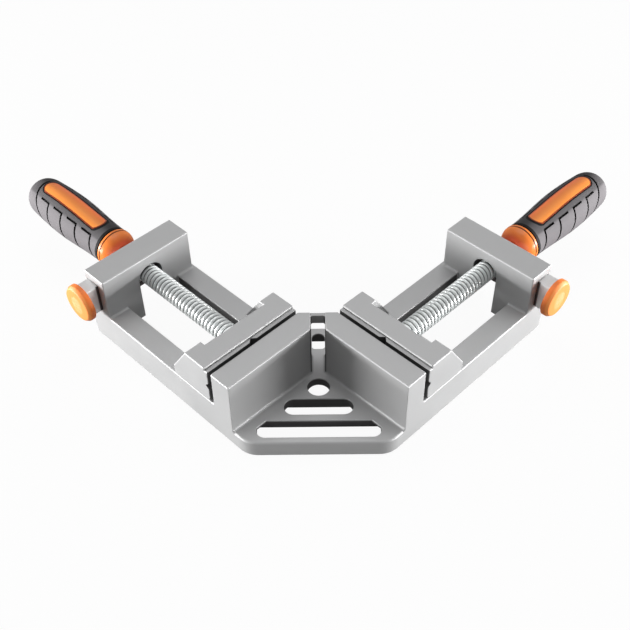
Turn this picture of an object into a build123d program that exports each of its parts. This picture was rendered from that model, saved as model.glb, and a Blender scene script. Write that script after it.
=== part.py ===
from build123d import *
import os
from math import cos, radians, sin, sqrt, tan

os.makedirs("parts", exist_ok=True)

# Corner clamp, in millimetres. The right-hand arm runs along +X and the left-hand arm along +Y.
# The origin is the point on the table below the crossing of the two fixed jaws' inner faces.
# Every piece is made for the right-hand arm and mirrored about the vertical plane X = Y.

# Fixed corner
jaw_length = 75.0
wall_height = 52.2
wall_thickness = 16.1
corner_gap = 9.0
corner_back = 10.1
front_corner_radius = 16.0
back_edge = 34.5
plate_top = 11.7
plate_thickness = 6.7
skirt = 4.2
foot_radius = 4.5
tie_bar_depth = 2.4
tie_bar_height = 7.6
tie_bar_flare = 1.0

# Openings in the corner plate, set out along the diagonal from the origin, and the webs left there
fixing_hole_radius = 7.4
fixing_hole_distance = 17.2
hole_web = 2.4
web_rib = 2.0
short_slot_length = 44.0
short_slot_width = 12.9
slot_web = 4.6
long_slot_width = 13.2
long_slot_corner = 5.6
front_rim = 4.4
side_rim = 9.75
relief_slot_length = 14.1
relief_slot_width = 8.8
relief_slot_corner = 2.4
back_rim = 4.55
back_rib = 1.1
slot_skin = 2.2

# Rails of an arm
rail_top = 24.6
rail_flange = 10.0
outer_rail_width = 15.3
inner_rail_width = 14.7
inner_rail_inset = 1.3
arm_length = 141.8

# End block and its arch
block_thickness = 20.0
block_crown = 5.8
block_inset = 3.0
leg_bottom = 8.0
arch_radius = 9.8

# Clamping screw
axis_height = 39.5
spindle_radius = 7.1
neck_radius = 5.0
groove_radius = 3.8
shank_radius = 6.0
neck_depth = 11.8
shank_step = 1.0
tang_length = 32.0
tang_thickness = 9.0

# Moving jaw
jaw_opening = 2.8
jaw_inner_end = 0.4
jaw_rise = 1.0
ledge_depth = 2.7
ledge_drop = 2.0
jaw_crown = 18.1
lug_reach = 34.7
lug_shoulder = 32.0
outer_lug_width = 13.4
inner_lug_width = 12.4
upright_thickness = 17.2
groove_width = 6.0
groove_depth = 2.6
groove_height = 38.5
tongue_start = 1.8
tongue_length = 29.0

# Keeper below the rails, its screws, and the pins that hold the screw's neck
keeper_overlap = 6.2
keeper_thickness = 3.0
keeper_length = 22.0
keeper_corner = 3.0
screw_inset = 7.05
screw_radius = 2.5
screw_length = 13.0
head_radius = 4.5
head_height = 2.7
hexagon_radius = 1.7
hexagon_depth = 1.5
pin_radius = 1.5
pin_rise = 4.0
washer_thickness = 1.6
washer_radius = 8.6
washer_gap = 0.4

# Quick release in the end block
slider_width = 11.8
slider_height = 21.6
slider_wall = 1.8
release_travel = 3.5
nut_wall = 4.4
spring_room = 8.0
spring_bore_depth = 6.0
spring_radius = 3.6
wire_radius = 0.5
spring_turns = 5
stem_reach = 12.2
button_radius = 13.4
button_thickness = 6.0
button_dome = 1.4
button_edge = 1.6
socket_depth = 3.0

# Handle, set out along the screw from the collar's outer end, and back from the grip's tip
nose_gap = 10.0
nose_radius = 7.8
collar_length = 10.9
collar_radius = 14.2
collar_lip = 2.4
lip_groove = 0.7
core_radius = 10.0
core_cap = 9.0
tang_cap = 7.0
grip_length = 92.6
grip_near_radius = 13.9
grip_radius = 16.0
grip_belly = 44.6
dome_length = 13.0
dome_start_radius = 14.5
ring_width = 1.4
ring_depth = 1.0
first_ring_inset = 9.1
ring_count = 4
ring_tilt = 15.0
end_ring_inset = 23.2
end_ring_gap = 12.6
end_ring_tilt = 32.0
leg_angle = 42.5
leg_length = 10.5
inlay_near_inset = 10.8
inlay_far_inset = 16.4
inlay_width = 12.4
inlay_seat = 12.4
inlay_gap = 0.5

# Fits and the casting's rounded edges
sliding_gap = 0.3
running_gap = 0.08
seat_gap = 0.1
edge_round = 0.9
foot_round = 1.6

# Values worked out from the sizes above
plate_bottom = plate_top - plate_thickness
short_slot_back = fixing_hole_distance + fixing_hole_radius + hole_web
short_slot_distance = short_slot_back + short_slot_width / 2
long_slot_distance = short_slot_back + short_slot_width + slot_web + long_slot_width / 2
front_edge = long_slot_distance + long_slot_width / 2 + front_rim
long_slot_half = sqrt(2) * jaw_length - front_edge + front_rim - side_rim
relief_slot_back = back_edge - back_rim
relief_slot_front = relief_slot_back - relief_slot_length
outer_rail_edge = outer_rail_width - jaw_length
inner_rail_edge = -inner_rail_inset - inner_rail_width
ledge_height = rail_top - rail_flange
block_front = arm_length - block_thickness
block_top = axis_height + slider_height / 2 + sliding_gap + block_crown
axis_offset = jaw_length / 2
tongue_width = inner_rail_edge - outer_rail_edge - 2 * sliding_gap
tongue_middle = (inner_rail_edge + outer_rail_edge) / 2
keeper_screw_spacing = tongue_width - 2 * screw_inset
jaw_face = wall_thickness + jaw_opening
jaw_foot = rail_top + sliding_gap
jaw_top = wall_height + jaw_rise
jaw_relief = foot_round + sliding_gap
floor_thickness = axis_height - washer_radius - washer_gap - jaw_foot
upright_back = jaw_face + upright_thickness
lug_back = jaw_face + lug_reach
keeper_top = ledge_height - sliding_gap
keeper_bottom = keeper_top - keeper_thickness
keeper_middle = jaw_face + tongue_start + tongue_length / 2
shoulder = upright_back + sliding_gap + washer_thickness
neck_end = upright_back - neck_depth
pin_station = neck_end + neck_depth / 2 - pin_radius
pin_offset = groove_radius + running_gap + pin_radius
pin_top = axis_height + pin_rise
slider_middle = arm_length - slider_wall - sliding_gap - slider_width / 2
slider_outer_end = jaw_length + stem_reach
slider_end = axis_offset - spindle_radius - nut_wall - spring_bore_depth
pocket_end = slider_end - spring_room
button_back = slider_outer_end - socket_depth
nose_start = arm_length + nose_gap
thread_end = nose_start - shank_step
collar_end = nose_start + collar_length
handle_end = collar_end + grip_length
core_end = handle_end - core_cap
tang_end = core_end - tang_cap
grip_middle = collar_end + grip_belly
dome_start = handle_end - dome_length
first_ring = collar_end + first_ring_inset
end_ring = handle_end - end_ring_inset
ring_pitch = (end_ring - end_ring_gap - first_ring) / (ring_count - 1)
inlay_start = collar_end + inlay_near_inset
inlay_end = handle_end - inlay_far_inset
diagonal = Plane(origin=(0, 0, 0), z_dir=(1, -1, 0))
screw_line = Axis((0, -axis_offset, axis_height), (1, 0, 0))
screw_profile = Plane(origin=(0, -axis_offset, axis_height), x_dir=(1, 0, 0), z_dir=(0, -1, 0))


def corner_plan(height):
    """Level plane with its y axis along the diagonal, towards the back of the corner."""
    return Plane(origin=(0, 0, height), x_dir=(1, -1, 0), z_dir=(0, 0, 1))


def across_screw(distance, tilt=0):
    """Plane centred on the clamping screw and square to it, or with its top tilted outwards."""
    return Plane(
        origin=(distance, -axis_offset, axis_height),
        x_dir=(0, 1, 0),
        z_dir=(cos(radians(tilt)), 0, -sin(radians(tilt))),
    )


# Fixed jaw, rails and end block of one arm, all in the one casting
with BuildPart() as arm:
    # Fixed jaw wall, cut square to the diagonal at the corner
    gap_reach = corner_gap / 2 * sqrt(2)
    back_reach = corner_back * sqrt(2)
    with BuildSketch():
        with BuildLine():
            Polyline(
                (0, -jaw_length),
                (wall_thickness, -jaw_length),
                (wall_thickness, back_reach - wall_thickness),
                ((back_reach + gap_reach) / 2, (back_reach - gap_reach) / 2),
                (0, -gap_reach),
                close=True,
            )
        make_face()
    extrude(amount=wall_height)

    # Outer and inner rails
    rail_length = arm_length - wall_thickness / 2
    with BuildSketch():
        with Locations((arm_length, -jaw_length)):
            Rectangle(rail_length, outer_rail_width, align=(Align.MAX, Align.MIN))
        with Locations((arm_length, inner_rail_edge)):
            Rectangle(rail_length, inner_rail_width, align=(Align.MAX, Align.MIN))
    extrude(amount=rail_top)

    # End block, a bridge over the window on two legs
    with BuildSketch(Plane.XY.offset(leg_bottom)):
        with Locations((block_front, -jaw_length)):
            Rectangle(block_thickness, jaw_length - block_inset, align=(Align.MIN, Align.MIN))
    extrude(amount=block_top - leg_bottom)

    # Rounded roots where the fixed jaw and the end block stand on the rails
    rail_edges = arm.edges().filter_by(Axis.Y).filter_by_position(Axis.Z, rail_top, rail_top)
    roots = rail_edges.filter_by_position(Axis.X, wall_thickness, block_front)
    fillet(roots, radius=foot_round)

    # Rounded uprights at the inner side, then the outer side and the tops of the jaw and the block
    uprights = arm.edges().filter_by(Axis.Z)
    block_uprights = uprights.filter_by_position(Axis.Y, -block_inset, -block_inset)
    jaw_upright = uprights.filter_by_position(Axis.X, 0, 0).sort_by(Axis.Y)[-1:]
    fillet(block_uprights + jaw_upright, radius=edge_round)
    side_edges = arm.faces().sort_by(Axis.Y)[0].edges().sort_by(Axis.Z)[1:].sort_by(Axis.X)[1:]
    wall_face = arm.faces().filter_by_position(Axis.Z, wall_height, wall_height)
    block_face = arm.faces().filter_by_position(Axis.Z, block_top, block_top)
    fillet(side_edges + wall_face.edges() + block_face.edges(), radius=edge_round)

    # Arch that the screw passes through
    with BuildSketch(Plane.YZ.offset(arm_length)):
        with Locations((-axis_offset, axis_height)):
            Circle(arch_radius)
        with Locations((-axis_offset, 0)):
            Rectangle(2 * arch_radius, axis_height, align=(Align.CENTER, Align.MIN))
    extrude(amount=-block_thickness, mode=Mode.SUBTRACT)

    # Channel for the release slider, open at the outer side and blind at the inner leg
    with BuildSketch(Plane.XZ.offset(pocket_end)):
        with Locations((slider_middle, axis_height)):
            Rectangle(slider_width + 2 * sliding_gap, slider_height + 2 * sliding_gap)
    extrude(amount=jaw_length - pocket_end, mode=Mode.SUBTRACT)

    # Cores below the rails leave a web along the side and a flange that guides the jaw
    core_start = wall_thickness + skirt
    outer_core = (core_start, -jaw_length + skirt)
    inner_core = (core_start, inner_rail_edge)
    for core_length, core_height in (
        (block_front - core_start, ledge_height),
        (arm_length - core_start, leg_bottom),
    ):
        with BuildSketch():
            with Locations(outer_core):
                Rectangle(core_length, outer_rail_width - skirt, align=(Align.MIN, Align.MIN))
            with Locations(inner_core):
                Rectangle(core_length, inner_rail_width - skirt, align=(Align.MIN, Align.MIN))
        extrude(amount=core_height, mode=Mode.SUBTRACT)

# Corner plate in front of and behind the fixed jaws
front_reach = front_edge * sqrt(2)
plate_reach = back_edge * sqrt(2)
with BuildPart() as corner_plate:
    rail_middle = inner_rail_inset + inner_rail_width / 2
    with BuildSketch():
        with BuildLine():
            Polyline(
                (-jaw_length, jaw_length - front_reach),
                (jaw_length - front_reach, -jaw_length),
                (wall_thickness, -jaw_length),
                (wall_thickness, -rail_middle),
                (plate_reach + rail_middle, -rail_middle),
                (-rail_middle, plate_reach + rail_middle),
                (-rail_middle, wall_thickness),
                (-jaw_length, wall_thickness),
                close=True,
            )
        make_face()
        front_corners = vertices().sort_by(Axis((0, 0, 0), (1, 1, 0)))[:2]
        fillet(front_corners, radius=front_corner_radius)
    extrude(amount=plate_top)

# Frame casting: the two arms and the corner plate that joins them
with BuildPart() as frame:
    add(arm.part)
    mirror(arm.part, about=diagonal)
    add(corner_plate.part)

    # Rounded front rim of the plate, and rounded roots where the fixed jaws stand on it
    plate_edges = frame.edges().filter_by_position(Axis.Z, plate_top, plate_top)
    rim_and_roots = plate_edges.sort_by(Axis((0, 0, 0), (1, 1, 0)))[:7]
    fillet(rim_and_roots, radius=foot_round)

    # Hollow underside: triangles before and behind the corner, with a solid foot at the origin
    near_core = back_reach + skirt * sqrt(2)
    far_core = plate_reach
    front_core = jaw_length - skirt - front_reach + skirt * sqrt(2)
    with BuildSketch():
        with BuildLine():
            Polyline(
                (-jaw_length + skirt, front_core),
                (front_core, -jaw_length + skirt),
                (0, -jaw_length + skirt),
                (0, 0),
                (-jaw_length + skirt, 0),
                close=True,
            )
        make_face()
        with BuildLine():
            Polyline(
                (near_core + inner_rail_inset, -inner_rail_inset),
                (far_core + inner_rail_inset, -inner_rail_inset),
                (-inner_rail_inset, far_core + inner_rail_inset),
                (-inner_rail_inset, near_core + inner_rail_inset),
                close=True,
            )
        make_face()
        Circle(foot_radius, mode=Mode.SUBTRACT)
    extrude(amount=plate_bottom, mode=Mode.SUBTRACT)

    # Ribs under the web between the fixing hole and the short slot, and under the back rim
    with BuildSketch(corner_plan(plate_bottom)):
        with Locations((0, -short_slot_back)):
            Rectangle(short_slot_length, hole_web, align=(Align.CENTER, Align.MIN))
    extrude(amount=-web_rib)
    rib_core = relief_slot_back * sqrt(2)
    with BuildSketch(Plane.XY.offset(plate_bottom)):
        with BuildLine():
            Polyline(
                (rib_core + inner_rail_inset, -inner_rail_inset),
                (far_core + inner_rail_inset, -inner_rail_inset),
                (-inner_rail_inset, far_core + inner_rail_inset),
                (-inner_rail_inset, rib_core + inner_rail_inset),
                close=True,
            )
        make_face()
    extrude(amount=-back_rib)

    # Hollow fixed jaws, open below
    wall_core_width = wall_thickness - 2 * skirt
    wall_core_length = jaw_length - 2 * skirt - corner_back
    with BuildSketch():
        with Locations((skirt, -jaw_length + skirt)):
            Rectangle(wall_core_width, wall_core_length, align=(Align.MIN, Align.MIN))
        with Locations((-jaw_length + skirt, skirt)):
            Rectangle(wall_core_length, wall_core_width, align=(Align.MIN, Align.MIN))
    extrude(amount=wall_height - skirt, mode=Mode.SUBTRACT)

    # Slots and holes through the plate
    with BuildSketch(corner_plan(plate_top)):
        with Locations((0, -fixing_hole_distance)):
            Circle(fixing_hole_radius)
        with Locations((0, -short_slot_distance)):
            SlotOverall(short_slot_length, short_slot_width)
    extrude(amount=-plate_top, mode=Mode.SUBTRACT)
    with BuildSketch(corner_plan(plate_top)) as relief_slot:
        with Locations((0, relief_slot_front)):
            Rectangle(relief_slot_width, relief_slot_length / 2, align=(Align.CENTER, Align.MIN))
        fillet(relief_slot.vertices().sort_by(Axis.Y)[:2], radius=relief_slot_corner)
        with Locations((0, (relief_slot_front + relief_slot_back) / 2)):
            SlotOverall(relief_slot_length, relief_slot_width, rotation=90)
    extrude(amount=-plate_top, mode=Mode.SUBTRACT)
    long_back = long_slot_width / 2 - long_slot_distance
    long_front = long_back - long_slot_width
    with BuildSketch(corner_plan(plate_top)) as long_slot:
        with BuildLine():
            Polyline(
                (-long_slot_half + long_slot_corner, long_back),
                (-long_slot_half, long_back - long_slot_corner),
                (-long_slot_half, long_front),
                (long_slot_half, long_front),
                (long_slot_half, long_back - long_slot_corner),
                (long_slot_half - long_slot_corner, long_back),
                close=True,
            )
        make_face()
        fillet(long_slot.vertices().sort_by(Axis.Y)[:2], radius=long_slot_corner)
    extrude(amount=-plate_top, mode=Mode.SUBTRACT)

    # Below the skin the relief slot and the long slot are square at the back
    with BuildSketch(corner_plan(plate_top - slot_skin)):
        with Locations((0, relief_slot_back)):
            Rectangle(relief_slot_width, relief_slot_length / 2, align=(Align.CENTER, Align.MAX))
        with Locations((0, long_back)):
            Rectangle(2 * long_slot_half, long_slot_corner, align=(Align.CENTER, Align.MAX))
    extrude(amount=slot_skin - plate_top, mode=Mode.SUBTRACT)

    # Tie bar across the gap at the top of the corner, flared where it meets the fixed jaws
    bar_half = corner_gap / 2
    bar_front = corner_back - tie_bar_depth
    with BuildSketch(corner_plan(wall_height - tie_bar_height)):
        with BuildLine():
            Polyline(
                (-bar_half - tie_bar_flare, corner_back),
                (-bar_half - tie_bar_flare, bar_front - tie_bar_flare),
                (-bar_half, bar_front - tie_bar_flare),
                (-bar_half + tie_bar_flare, bar_front),
                (bar_half - tie_bar_flare, bar_front),
                (bar_half, bar_front - tie_bar_flare),
                (bar_half + tie_bar_flare, bar_front - tie_bar_flare),
                (bar_half + tie_bar_flare, corner_back),
                close=True,
            )
        make_face()
    extrude(amount=tie_bar_height - edge_round)
frame.part.label = "frame"
export_step(frame.part, "parts/frame.step")

# Moving jaw: an upright plate between two buttresses, with a tongue that runs between the rails
with BuildPart() as moving_jaw_right:
    with BuildSketch(Plane.XZ.offset(jaw_inner_end)):
        with BuildLine():
            Polyline(
                (jaw_face + jaw_relief, jaw_foot),
                (jaw_face, jaw_foot + jaw_relief),
                (jaw_face, jaw_top - ledge_drop),
                (jaw_face + ledge_depth, jaw_top - ledge_drop),
                (jaw_face + ledge_depth, jaw_top),
                (jaw_face + ledge_depth + jaw_crown, jaw_top),
                (lug_back, lug_shoulder),
                (lug_back, jaw_foot + jaw_relief),
                (lug_back - jaw_relief, jaw_foot),
                close=True,
            )
        make_face()
    extrude(amount=jaw_length - jaw_inner_end)
    lug_gap = jaw_length - jaw_inner_end - outer_lug_width - inner_lug_width
    with BuildSketch(Plane.XY.offset(jaw_foot + floor_thickness)):
        with Locations((upright_back, -jaw_inner_end - inner_lug_width)):
            Rectangle(lug_reach, lug_gap, align=(Align.MIN, Align.MAX))
    extrude(amount=jaw_top, mode=Mode.SUBTRACT)

    # Rounded edges round both ends and the crest
    ends = moving_jaw_right.faces().sort_by(Axis.Y)
    end_edges = ends[0].edges().sort_by(Axis.Z)[1:] + ends[-1].edges().sort_by(Axis.Z)[1:]
    jaw_crest = moving_jaw_right.faces().sort_by(Axis.Z)[-1]
    fillet(end_edges + jaw_crest.edges(), radius=edge_round)

    # Tongue between the rails
    with BuildSketch(Plane.XY.offset(keeper_top)):
        with Locations((jaw_face + tongue_start, inner_rail_edge - sliding_gap)):
            Rectangle(tongue_length, tongue_width, align=(Align.MIN, Align.MAX))
    extrude(amount=jaw_foot - keeper_top)

    # Crossed V-grooves in the clamping face, for round work
    with BuildSketch(Plane.XZ.offset(jaw_inner_end)):
        with BuildLine():
            Polyline(
                (jaw_face, groove_height - groove_width / 2),
                (jaw_face + groove_depth, groove_height),
                (jaw_face, groove_height + groove_width / 2),
                close=True,
            )
        make_face()
    extrude(amount=jaw_length - jaw_inner_end, mode=Mode.SUBTRACT)
    with BuildSketch(Plane.XY.offset(jaw_foot)):
        with BuildLine():
            Polyline(
                (jaw_face, -axis_offset - groove_width / 2),
                (jaw_face + groove_depth, -axis_offset),
                (jaw_face, -axis_offset + groove_width / 2),
                close=True,
            )
        make_face()
    extrude(amount=jaw_top - jaw_foot, mode=Mode.SUBTRACT)

    # Blind bore for the neck of the screw, and the holes of its two cross pins
    with BuildSketch(across_screw(upright_back)):
        Circle(neck_radius + running_gap)
    extrude(amount=-neck_depth - sliding_gap, mode=Mode.SUBTRACT)
    with BuildSketch(Plane.XY.offset(keeper_top)):
        with Locations((pin_station, -axis_offset)):
            with Locations((0, -pin_offset), (0, pin_offset)):
                Circle(pin_radius)
    extrude(amount=pin_top - keeper_top, mode=Mode.SUBTRACT)

    # Tapped holes for the keeper screws
    with BuildSketch(Plane.XY.offset(keeper_top)):
        with Locations((keeper_middle, tongue_middle)):
            with GridLocations(0, keeper_screw_spacing, 1, 2):
                Circle(screw_radius)
    extrude(amount=screw_length - keeper_thickness, mode=Mode.SUBTRACT)
moving_jaw_right.part.label = "moving_jaw_right"
export_step(moving_jaw_right.part, "parts/moving_jaw_right.step")

# Keeper plate, which hooks the jaw's tongue under both rail flanges
keeper_outer = outer_rail_edge - keeper_overlap + sliding_gap
keeper_inner = inner_rail_edge + keeper_overlap - sliding_gap
with BuildPart() as jaw_keeper_right:
    with BuildSketch(Plane.XY.offset(keeper_bottom)):
        with Locations((keeper_middle, (keeper_outer + keeper_inner) / 2)):
            RectangleRounded(keeper_length, keeper_inner - keeper_outer, keeper_corner)
        with Locations((keeper_middle, tongue_middle)):
            with GridLocations(0, keeper_screw_spacing, 1, 2):
                Circle(screw_radius + seat_gap, mode=Mode.SUBTRACT)
    extrude(amount=keeper_thickness)
jaw_keeper_right.part.label = "jaw_keeper_right"
export_step(jaw_keeper_right.part, "parts/jaw_keeper_right.step")

# Two low-headed socket screws that hold the keeper
with BuildPart() as keeper_screws_right:
    with Locations((keeper_middle, tongue_middle, keeper_bottom)):
        with GridLocations(0, keeper_screw_spacing, 1, 2):
            Cylinder(
                screw_radius,
                screw_length - seat_gap,
                align=(Align.CENTER, Align.CENTER, Align.MIN),
            )
            Cylinder(
                head_radius, head_height, align=(Align.CENTER, Align.CENTER, Align.MAX)
            )
    with BuildSketch(Plane.XY.offset(keeper_bottom - head_height)):
        with Locations((keeper_middle, tongue_middle)):
            with GridLocations(0, keeper_screw_spacing, 1, 2):
                RegularPolygon(hexagon_radius, 6)
    extrude(amount=hexagon_depth, mode=Mode.SUBTRACT)
keeper_screws_right.part.label = "keeper_screws_right"
export_step(keeper_screws_right.part, "parts/keeper_screws_right.step")

# Two upright pins that sit in the neck's groove, so the screw turns but cannot pull out
with BuildPart() as retaining_pins_right:
    with BuildSketch(Plane.XY.offset(keeper_top)):
        with Locations((pin_station, -axis_offset)):
            with Locations((0, -pin_offset), (0, pin_offset)):
                Circle(pin_radius)
    extrude(amount=pin_top - keeper_top)
retaining_pins_right.part.label = "retaining_pins_right"
export_step(retaining_pins_right.part, "parts/retaining_pins_right.step")

# Thrust washer between the jaw and the shoulder of the screw
with BuildPart() as thrust_washer_right:
    with BuildSketch(across_screw(upright_back + sliding_gap)):
        Circle(washer_radius)
        Circle(neck_radius, mode=Mode.SUBTRACT)
    extrude(amount=washer_thickness)
thrust_washer_right.part.label = "thrust_washer_right"
export_step(thrust_washer_right.part, "parts/thrust_washer_right.step")

# Clamping screw: grooved neck, threaded length, plain shank and a flattened tang in the handle
with BuildPart() as spindle_right:
    groove_start = pin_station - pin_radius - running_gap
    groove_end = pin_station + pin_radius + running_gap
    with BuildSketch(screw_profile):
        with BuildLine():
            Polyline(
                (neck_end, 0),
                (neck_end, neck_radius),
                (groove_start, neck_radius),
                (groove_start, groove_radius),
                (groove_end, groove_radius),
                (groove_end, neck_radius),
                (shoulder, neck_radius),
                (shoulder, spindle_radius),
                (thread_end, spindle_radius),
                (thread_end, shank_radius),
                (tang_end, shank_radius),
                (tang_end, 0),
                close=True,
            )
        make_face()
    revolve(axis=screw_line)
    with BuildSketch(across_screw(tang_end)):
        Rectangle(4 * shank_radius, 4 * shank_radius)
        Rectangle(tang_thickness, 4 * shank_radius, mode=Mode.SUBTRACT)
    extrude(amount=-tang_length, mode=Mode.SUBTRACT)
spindle_right.part.label = "spindle_right"
export_step(spindle_right.part, "parts/spindle_right.step")

# Release slider: half nut, stem and spring seat in one bar across the end block
with BuildPart() as release_slider_right:
    with BuildSketch(Plane.XZ.offset(slider_end)):
        with Locations((slider_middle, axis_height)):
            Rectangle(slider_width, slider_height)
    extrude(amount=slider_outer_end - slider_end)
    fillet(release_slider_right.edges().filter_by(Axis.Y), radius=edge_round)

    # Hole for the screw, lengthened outwards so that the nut half can move off the thread
    nut_radius = spindle_radius + running_gap
    relief = release_travel + sliding_gap
    with BuildSketch(across_screw(slider_middle - slider_width / 2)):
        Circle(nut_radius)
        with Locations((-relief, 0)):
            Circle(nut_radius)
        with Locations((-relief / 2, 0)):
            Rectangle(relief, 2 * nut_radius)
    extrude(amount=slider_width, mode=Mode.SUBTRACT)
    with BuildSketch(Plane.XZ.offset(slider_end)):
        with Locations((slider_middle, axis_height)):
            Circle(spring_radius + wire_radius + seat_gap)
    extrude(amount=spring_bore_depth, mode=Mode.SUBTRACT)
release_slider_right.part.label = "release_slider_right"
export_step(release_slider_right.part, "parts/release_slider_right.step")

# Thumb button pressed onto the end of the slider
crown_middle = button_back + button_thickness - button_dome
crown_profile = Plane(
    origin=(slider_middle, -crown_middle, axis_height), x_dir=(1, 0, 0), z_dir=(0, 0, 1)
)
with BuildPart() as release_button_right:
    with BuildSketch(crown_profile):
        with BuildLine():
            Polyline(
                (button_radius - button_edge, -button_dome / 2),
                (button_radius, button_edge),
                (button_radius, crown_middle - button_back),
                (0, crown_middle - button_back),
                (0, -button_dome),
            )
            ThreePointArc(
                (0, -button_dome),
                (button_radius / 2, -button_dome * 0.86),
                (button_radius - button_edge, -button_dome / 2),
            )
        make_face()
    revolve(axis=Axis((slider_middle, 0, axis_height), (0, 1, 0)))
    button_rims = release_button_right.edges().filter_by(GeomType.CIRCLE)
    fillet(button_rims.sort_by(Axis.Y)[:2], radius=edge_round)
    with BuildSketch(Plane.XZ.offset(button_back)):
        with Locations((slider_middle, axis_height)):
            RectangleRounded(slider_width, slider_height, edge_round)
    extrude(amount=socket_depth, mode=Mode.SUBTRACT)
release_button_right.part.label = "release_button_right"
export_step(release_button_right.part, "parts/release_button_right.step")

# Compression spring between the slider and the blind end of its channel
spring_length = slider_end - pocket_end + spring_bore_depth - 2 * wire_radius
with BuildPart() as release_spring_right:
    with BuildLine():
        coil = Helix(
            pitch=spring_length / spring_turns,
            height=spring_length,
            radius=spring_radius,
            center=(slider_middle, -pocket_end - wire_radius, axis_height),
            direction=(0, -1, 0),
        )
    with BuildSketch(coil ^ 0):
        Circle(wire_radius)
    sweep()
release_spring_right.part.label = "release_spring_right"
export_step(release_spring_right.part, "parts/release_spring_right.step")

# Handle core: flared collar with a lip, and the sleeve below the grip
lip_start = collar_end - collar_lip
with BuildPart() as handle_core_right:
    with BuildSketch(screw_profile):
        with BuildLine():
            Spline(
                (nose_start, nose_radius),
                (lip_start, collar_radius),
                tangents=((0.7, 1), (1, 0.15)),
            )
            Polyline(
                (lip_start, collar_radius),
                (lip_start, collar_radius - lip_groove),
                (lip_start + lip_groove, collar_radius - lip_groove),
                (lip_start + lip_groove, collar_radius),
                (collar_end, collar_radius),
                (collar_end, core_radius),
                (core_end, core_radius),
                (core_end, 0),
                (nose_start, 0),
                (nose_start, nose_radius),
            )
        make_face()
    revolve(axis=screw_line)

    # Bore for the shank, flat-sided round the tang
    with BuildSketch(across_screw(nose_start)):
        Circle(shank_radius)
    extrude(amount=tang_end - tang_length - nose_start, mode=Mode.SUBTRACT)
    with BuildSketch(across_screw(tang_end)):
        Circle(shank_radius)
        Rectangle(tang_thickness, 4 * shank_radius, mode=Mode.INTERSECT)
    extrude(amount=-tang_length, mode=Mode.SUBTRACT)
handle_core_right.part.label = "handle_core_right"
export_step(handle_core_right.part, "parts/handle_core_right.step")


def grip_profile(inset):
    """Half section of the grip's outside, drawn a given depth below its surface."""
    with BuildSketch(screw_profile) as section:
        with BuildLine():
            Polyline(
                (handle_end - inset, 0),
                (collar_end, 0),
                (collar_end, grip_near_radius - inset - ring_depth),
                (collar_end + ring_width, grip_near_radius - inset - ring_depth),
                (collar_end + ring_width, grip_near_radius - inset),
            )
            Spline(
                (collar_end + ring_width, grip_near_radius - inset),
                (grip_middle, grip_radius - inset),
                (dome_start, dome_start_radius - inset),
                tangents=((1, -0.02), (1, -0.08)),
            )
            Spline(
                (dome_start, dome_start_radius - inset),
                (handle_end - inset, 0),
                tangents=((1, -0.08), (0, -1)),
            )
        make_face()
    return section.sketch


def inlay_outline(gap):
    """Plan of the inlay, blunt at the near end and round at the far end, grown by a gap."""
    half_width = inlay_width / 2 + gap
    near_corner = inlay_start + inlay_width / 4
    far_corner = inlay_end - inlay_width / 2
    seat = Plane(origin=(0, -axis_offset, axis_height + inlay_seat))
    with BuildSketch(seat) as outline:
        with BuildLine():
            Line((far_corner, half_width), (near_corner, half_width))
            ThreePointArc(
                (near_corner, half_width), (inlay_start - gap, 0), (near_corner, -half_width)
            )
            Line((near_corner, -half_width), (far_corner, -half_width))
            ThreePointArc(
                (far_corner, -half_width), (inlay_end + gap, 0), (far_corner, half_width)
            )
        make_face()
    return outline.sketch


# Grooves of the grip: slanting rings broken at the top, a leg at each break, and a closed end ring
with BuildPart() as grip_grooves:
    leg_rise = grip_radius * cos(radians(leg_angle))
    leg_side = grip_radius * sin(radians(leg_angle))
    for ring in range(ring_count):
        station = first_ring + ring * ring_pitch
        with BuildSketch(across_screw(station, ring_tilt)):
            Circle(2 * grip_radius)
            with BuildLine():
                Polyline(
                    (0, 0),
                    (4 * leg_side, 4 * leg_rise),
                    (-4 * leg_side, 4 * leg_rise),
                    close=True,
                )
            make_face(mode=Mode.SUBTRACT)
        extrude(amount=ring_width / 2, both=True)
        leg_start = station + leg_rise * tan(radians(ring_tilt)) - ring_width / 2
        for side in (-1, 1):
            leg_plane = Plane(
                origin=(leg_start, -axis_offset, axis_height),
                x_dir=(1, 0, 0),
                z_dir=(0, side * leg_side, leg_rise),
            )
            with BuildSketch(leg_plane):
                Rectangle(leg_length, ring_width, align=(Align.MIN, Align.CENTER))
            extrude(amount=2 * grip_radius)
    with BuildSketch(across_screw(end_ring, end_ring_tilt)):
        Circle(2 * grip_radius)
    extrude(amount=ring_width / 2, both=True)

# Solid of the grip down to the floor of its grooves
with BuildPart() as groove_floor:
    add(grip_profile(ring_depth))
    revolve(axis=screw_line)

# Rubber grip over the core
with BuildPart() as handle_grip_right:
    add(grip_profile(0))
    revolve(axis=screw_line)
    add(grip_grooves.part - groove_floor.part, mode=Mode.SUBTRACT)
    with BuildSketch(across_screw(collar_end)):
        Circle(core_radius)
    extrude(amount=core_end - collar_end, mode=Mode.SUBTRACT)
    add(inlay_outline(inlay_gap))
    extrude(amount=2 * grip_radius, mode=Mode.SUBTRACT)
handle_grip_right.part.label = "handle_grip_right"
export_step(handle_grip_right.part, "parts/handle_grip_right.step")

# Coloured inlay, flush with the grip
with BuildPart() as handle_inlay_right:
    add(grip_profile(0))
    revolve(axis=screw_line)
    add(inlay_outline(0))
    extrude(amount=2 * grip_radius, mode=Mode.INTERSECT)
handle_inlay_right.part.label = "handle_inlay_right"
export_step(handle_inlay_right.part, "parts/handle_inlay_right.step")

# Left-hand arm's pieces, the mirror images of the right-hand ones
with BuildPart() as moving_jaw_left:
    mirror(moving_jaw_right.part, about=diagonal)
moving_jaw_left.part.label = "moving_jaw_left"
export_step(moving_jaw_left.part, "parts/moving_jaw_left.step")

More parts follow.
